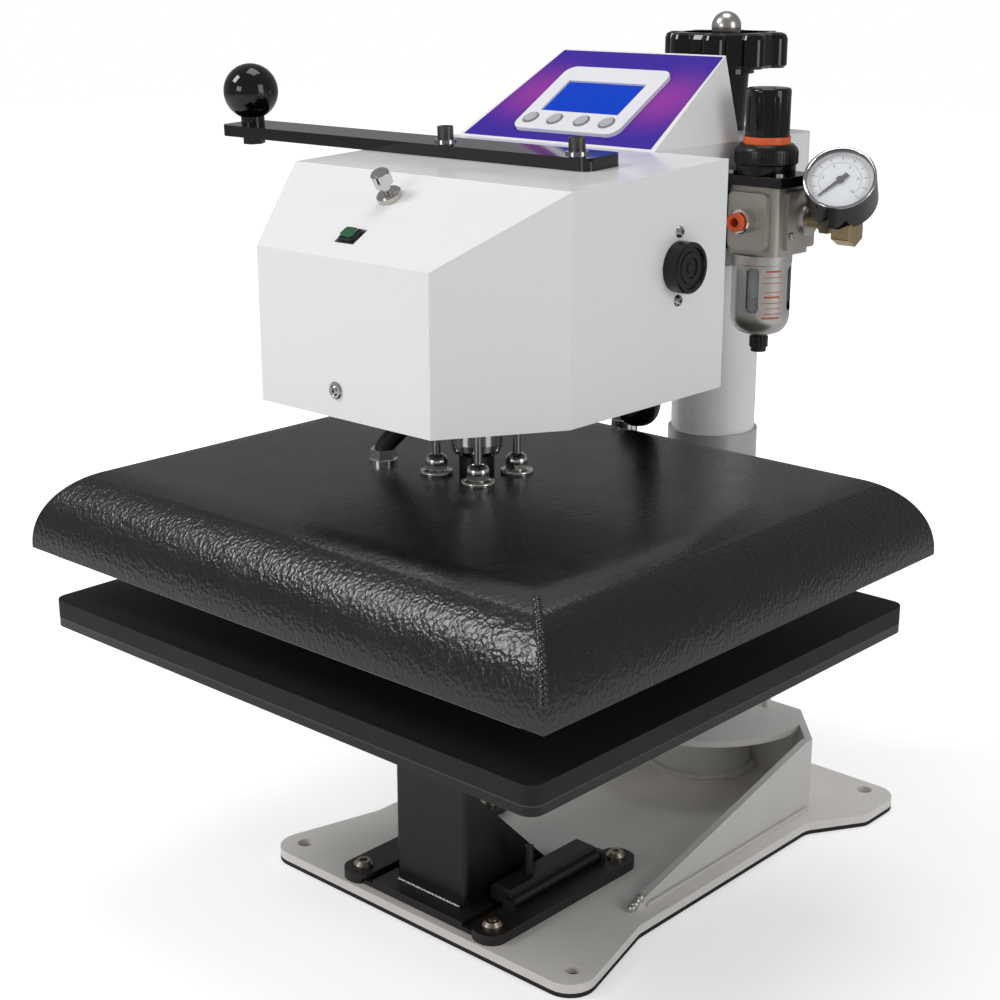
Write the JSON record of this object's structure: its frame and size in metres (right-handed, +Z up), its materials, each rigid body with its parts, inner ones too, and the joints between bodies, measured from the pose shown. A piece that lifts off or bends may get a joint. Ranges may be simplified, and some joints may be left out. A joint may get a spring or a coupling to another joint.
{
  "type": "pneumatic heat press",
  "caption": "Bench heat press with a rectangular heated platen, air cylinder head that swings on a post, sliding lower table, digital control box and air regulator with gauge",
  "frame": {"origin": "centre of the lower table projected onto the underside of the base mat", "axes": "+Z up, -Y towards the operator, +Y towards the post, +X to the operator's right"},
  "size_m": [0.4687, 0.4855, 0.5584],
  "materials": {
    "base_rubber": "matte",
    "base_steel": "satin metallic grey",
    "black_coat": "semi-gloss",
    "wrinkle_black": "hammered powder coat",
    "white_coat": "gloss",
    "platen_cast": "cast",
    "steel": "satin",
    "chrome": "polished",
    "nickel": "satin",
    "zinc_cast": "satin grey",
    "black_plastic": "gloss",
    "pad_rubber": "matte",
    "lead_sleeve": "matte",
    "brass": "machined",
    "white_plastic": "gloss",
    "lcd_blue": "gloss",
    "key_grey": "satin",
    "orange_plastic": "gloss",
    "green_plastic": "gloss",
    "clear_plastic": "clear",
    "filter_white": "sintered",
    "dial_white": "printed"
  },
  "bodies": {
    "base": {"base_mat": "base_rubber", "base_plate": "base_steel", "base_gussets": "base_steel", "post_socket": "base_steel", "post_sleeve": "base_steel", "post_core": "steel", "sled_rails": "black_coat", "rail_screws": "steel"},
    "lift_carrier": {"swing_bush": "brass"},
    "head": {"post_tube": "white_coat", "arm_housing": "white_coat", "head_frame": "steel", "head_cover": "white_coat", "air_cylinder": "platen_cast", "handle_bar": "black_coat", "handle_ball": "black_plastic", "handle_screws": "steel", "control_box": "white_coat", "control_bezel": "white_plastic", "control_display": "lcd_blue", "side_sounder": "black_plastic", "cover_screws": "steel", "button_bezel": "black_plastic", "valve_collar": "chrome", "regulator_bracket": "black_coat", "regulator_body": "zinc_cast", "regulator_bonnet": "black_plastic", "regulator_ring": "orange_plastic", "bowl_guard": "zinc_cast", "filter_bowl": "clear_plastic", "filter_element": "filter_white", "inlet_fitting": "nickel", "gauge_elbow": "brass", "gauge_case": "black_plastic", "gauge_dial": "dial_white"},
    "wheel": {"handwheel": "black_plastic", "lift_screw": "nickel"},
    "platen": {"ram": "chrome", "ram_coupling": "black_coat", "heat_platen": "platen_cast", "platen_cover": "wrinkle_black", "platen_studs": "steel", "levelling_nuts": "nickel", "heater_leads": "lead_sleeve", "lead_glands": "nickel"},
    "table": {"table_sled": "black_coat", "table_pedestal": "black_coat", "table_plate": "black_coat", "table_pad": "pad_rubber"},
    "lock": {"lock_bar": "black_coat"},
    "pressure_knob": {"regulator_knob": "black_plastic"},
    "needle": {"gauge_needle": "black_plastic"},
    "lower_valve": {"valve_knob": "chrome"},
    "start_button": {"power_button": "green_plastic"},
    "drain": {"drain_valve": "black_plastic"},
    "collet": {"release_collet": "orange_plastic"},
    "key_a": {"key_1": "key_grey"},
    "key_b": {"key_2": "key_grey"},
    "key_c": {"key_3": "key_grey"},
    "key_d": {"key_4": "key_grey"}
  },
  "joints": [
    {"name": "head_lift", "type": "slide", "parent": "base", "child": "lift_carrier", "axis": [0, 0, 1], "range_m": [0, 0.025]},
    {"name": "head_swing", "type": "hinge", "parent": "lift_carrier", "child": "head", "pos_m": [0, 0.248, 0.4], "axis": [0, 0, 1], "range_deg": [0, 90]},
    {"name": "handwheel_turn", "type": "hinge", "parent": "head", "child": "wheel", "pos_m": [0, 0.248, 0.5], "axis": [0, 0, 1], "range_deg": [0, 1801]},
    {"name": "press_stroke", "type": "slide", "parent": "head", "child": "platen", "axis": [0, 0, -1], "range_m": [0, 0.0294], "stiffness_N_per_m": 3000, "springref_m": -0.08},
    {"name": "table_slide", "type": "slide", "parent": "base", "child": "table", "axis": [0, -1, 0], "range_m": [0, 0.1]},
    {"name": "table_lock", "type": "hinge", "parent": "base", "child": "lock", "pos_m": [0.052, 0, 0.0195], "axis": [0, 1, 0], "range_deg": [0, 35]},
    {"name": "pressure_set", "type": "hinge", "parent": "head", "child": "pressure_knob", "pos_m": [0.0785, 0.186, 0.5], "axis": [0, 0, 1], "range_deg": [-720, 720]},
    {"name": "gauge_reading", "type": "hinge", "parent": "head", "child": "needle", "pos_m": [0.132, 0.188, 0.463], "axis": [-0.3237, 0.6943, -0.6428], "range_deg": [0, 270], "stiffness_Nm_per_rad": 0.00005},
    {"name": "lowering_valve", "type": "slide", "parent": "head", "child": "lower_valve", "axis": [0, 0.5031, -0.8642], "range_m": [0, 0.004], "stiffness_N_per_m": 800},
    {"name": "start_press", "type": "slide", "parent": "head", "child": "start_button", "axis": [0, 0.5031, -0.8642], "range_m": [0, 0.0015], "stiffness_N_per_m": 900},
    {"name": "key_1_press", "type": "slide", "parent": "head", "child": "key_a", "axis": [0, 0.5117, -0.8592], "range_m": [0, 0.0006], "stiffness_N_per_m": 900},
    {"name": "key_2_press", "type": "slide", "parent": "head", "child": "key_b", "axis": [0, 0.5117, -0.8592], "range_m": [0, 0.0006], "stiffness_N_per_m": 900},
    {"name": "key_3_press", "type": "slide", "parent": "head", "child": "key_c", "axis": [0, 0.5117, -0.8592], "range_m": [0, 0.0006], "stiffness_N_per_m": 900},
    {"name": "key_4_press", "type": "slide", "parent": "head", "child": "key_d", "axis": [0, 0.5117, -0.8592], "range_m": [0, 0.0006], "stiffness_N_per_m": 900},
    {"name": "drain_turn", "type": "hinge", "parent": "head", "child": "drain", "pos_m": [0.0785, 0.186, 0.352], "axis": [0, 0, 1], "range_deg": [0, 90]},
    {"name": "hose_release", "type": "slide", "parent": "head", "child": "collet", "axis": [0, 1, 0], "range_m": [0, 0.001], "stiffness_N_per_m": 600}
  ],
  "couplings": [
    {"joint": "handwheel_turn", "follows": "head_lift", "rad_per_m": 1256.6}
  ]
}
